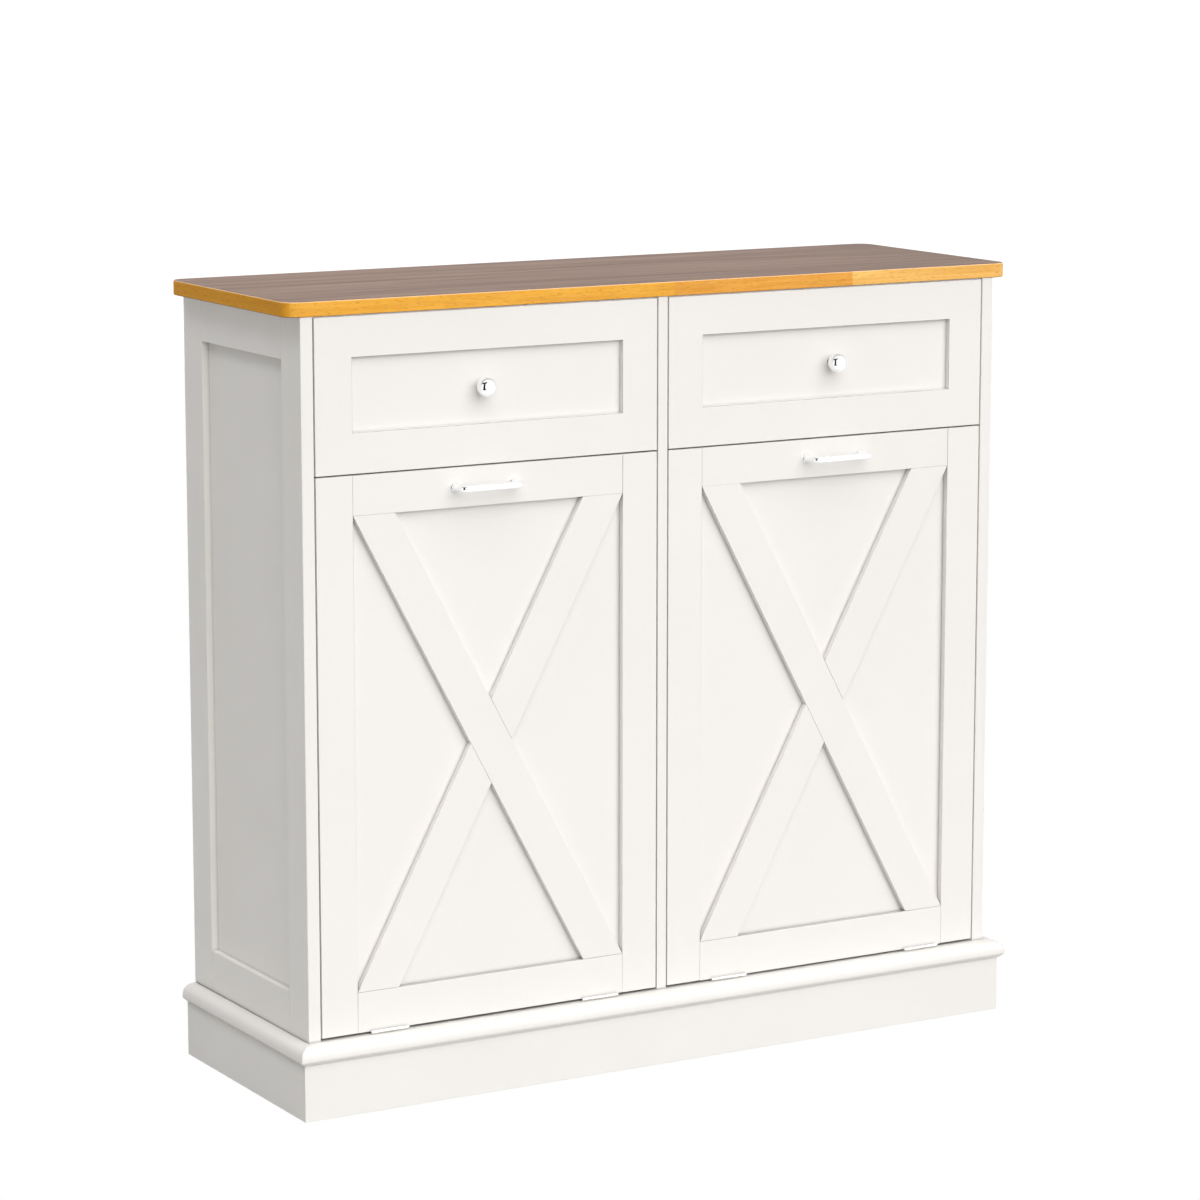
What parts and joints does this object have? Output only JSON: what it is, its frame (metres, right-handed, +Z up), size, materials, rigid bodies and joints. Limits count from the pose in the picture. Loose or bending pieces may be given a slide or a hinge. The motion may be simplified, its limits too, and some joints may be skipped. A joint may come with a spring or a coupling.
{
  "type": "tilt-out trash cabinet",
  "caption": "Free-standing painted kitchen cabinet with a wood worktop, drawers above cross-braced doors that tilt out with bin cradles.",
  "frame": {"origin": "on the floor, under the middle of the object's box", "axes": "+X to the right along the fronts, +Y to the back, +Z up; the fronts face -Y"},
  "size_m": [1.02, 0.355, 0.98],
  "materials": {
    "paint": "satin off-white paint on wood",
    "worktop_wood": "oiled solid wood, taupe face and honey edges",
    "bare_wood": "clear-lacquered softwood",
    "hardboard": "smooth hardboard",
    "chrome": "polished chrome",
    "nickel": "bright nickel plate",
    "zinc": "bright zinc plate"
  },
  "bodies": {
    "root": {"worktop": "worktop_wood", "left_side_stiles": "paint", "left_side_rails": "paint", "left_side_panel": "paint", "right_side_stiles": "paint", "right_side_rails": "paint", "right_side_panel": "paint", "centre_divider": "paint", "bottom_panel": "paint", "back_panel": "hardboard", "cross_rails": "bare_wood", "base_rails": "bare_wood", "corner_blocks": "bare_wood", "plinth_front": "paint", "plinth_left": "paint", "plinth_right": "paint", "plinth_cap_front": "paint", "plinth_cap_left": "paint", "plinth_cap_right": "paint", "worktop_screws": "zinc", "back_screws": "zinc", "slide_outers": "zinc", "hinge_bases": "nickel", "door_catches": "zinc", "tilt_stop_pegs": "bare_wood"},
    "left_drawer": {"left_drawer_front": "paint", "left_drawer_sides": "bare_wood", "left_drawer_back": "bare_wood", "left_drawer_bottom": "hardboard", "left_knob": "chrome", "left_slide_inners": "zinc"},
    "left_slide_balls": {"left_ball_cages": "zinc"},
    "left_door": {"left_door_stiles": "paint", "left_door_rails": "paint", "left_door_panel": "paint", "left_long_brace": "paint", "left_cut_brace": "paint", "left_pull": "chrome", "left_door_hinges": "nickel", "left_cradle_sides": "bare_wood", "left_cradle_tray": "bare_wood", "left_strike_plate": "zinc"},
    "right_drawer": {"right_drawer_front": "paint", "right_drawer_sides": "bare_wood", "right_drawer_back": "bare_wood", "right_drawer_bottom": "hardboard", "right_knob": "chrome", "right_slide_inners": "zinc"},
    "right_slide_balls": {"right_ball_cages": "zinc"},
    "right_door": {"right_door_stiles": "paint", "right_door_rails": "paint", "right_door_panel": "paint", "right_long_brace": "paint", "right_cut_brace": "paint", "right_pull": "chrome", "right_door_hinges": "nickel", "right_cradle_sides": "bare_wood", "right_cradle_tray": "bare_wood", "right_strike_plate": "zinc"}
  },
  "joints": [
    {"name": "left_drawer_slide", "type": "slide", "parent": "root", "child": "left_drawer", "axis": [0, -1, 0], "range_m": [0, 0.19]},
    {"name": "left_balls_slide", "type": "slide", "parent": "root", "child": "left_slide_balls", "axis": [0, -1, 0], "range_m": [0, 0.095]},
    {"name": "left_door_tilt", "type": "hinge", "parent": "root", "child": "left_door", "pos_m": [-0.24025, -0.151, 0.095], "axis": [1, 0, 0], "range_deg": [0, 38]},
    {"name": "right_drawer_slide", "type": "slide", "parent": "root", "child": "right_drawer", "axis": [0, -1, 0], "range_m": [0, 0.19]},
    {"name": "right_balls_slide", "type": "slide", "parent": "root", "child": "right_slide_balls", "axis": [0, -1, 0], "range_m": [0, 0.095]},
    {"name": "right_door_tilt", "type": "hinge", "parent": "root", "child": "right_door", "pos_m": [0.24025, -0.151, 0.095], "axis": [1, 0, 0], "range_deg": [0, 38]}
  ],
  "couplings": [
    {"joint": "left_balls_slide", "follows": "left_drawer_slide", "ratio": 0.5},
    {"joint": "right_balls_slide", "follows": "right_drawer_slide", "ratio": 0.5}
  ]
}
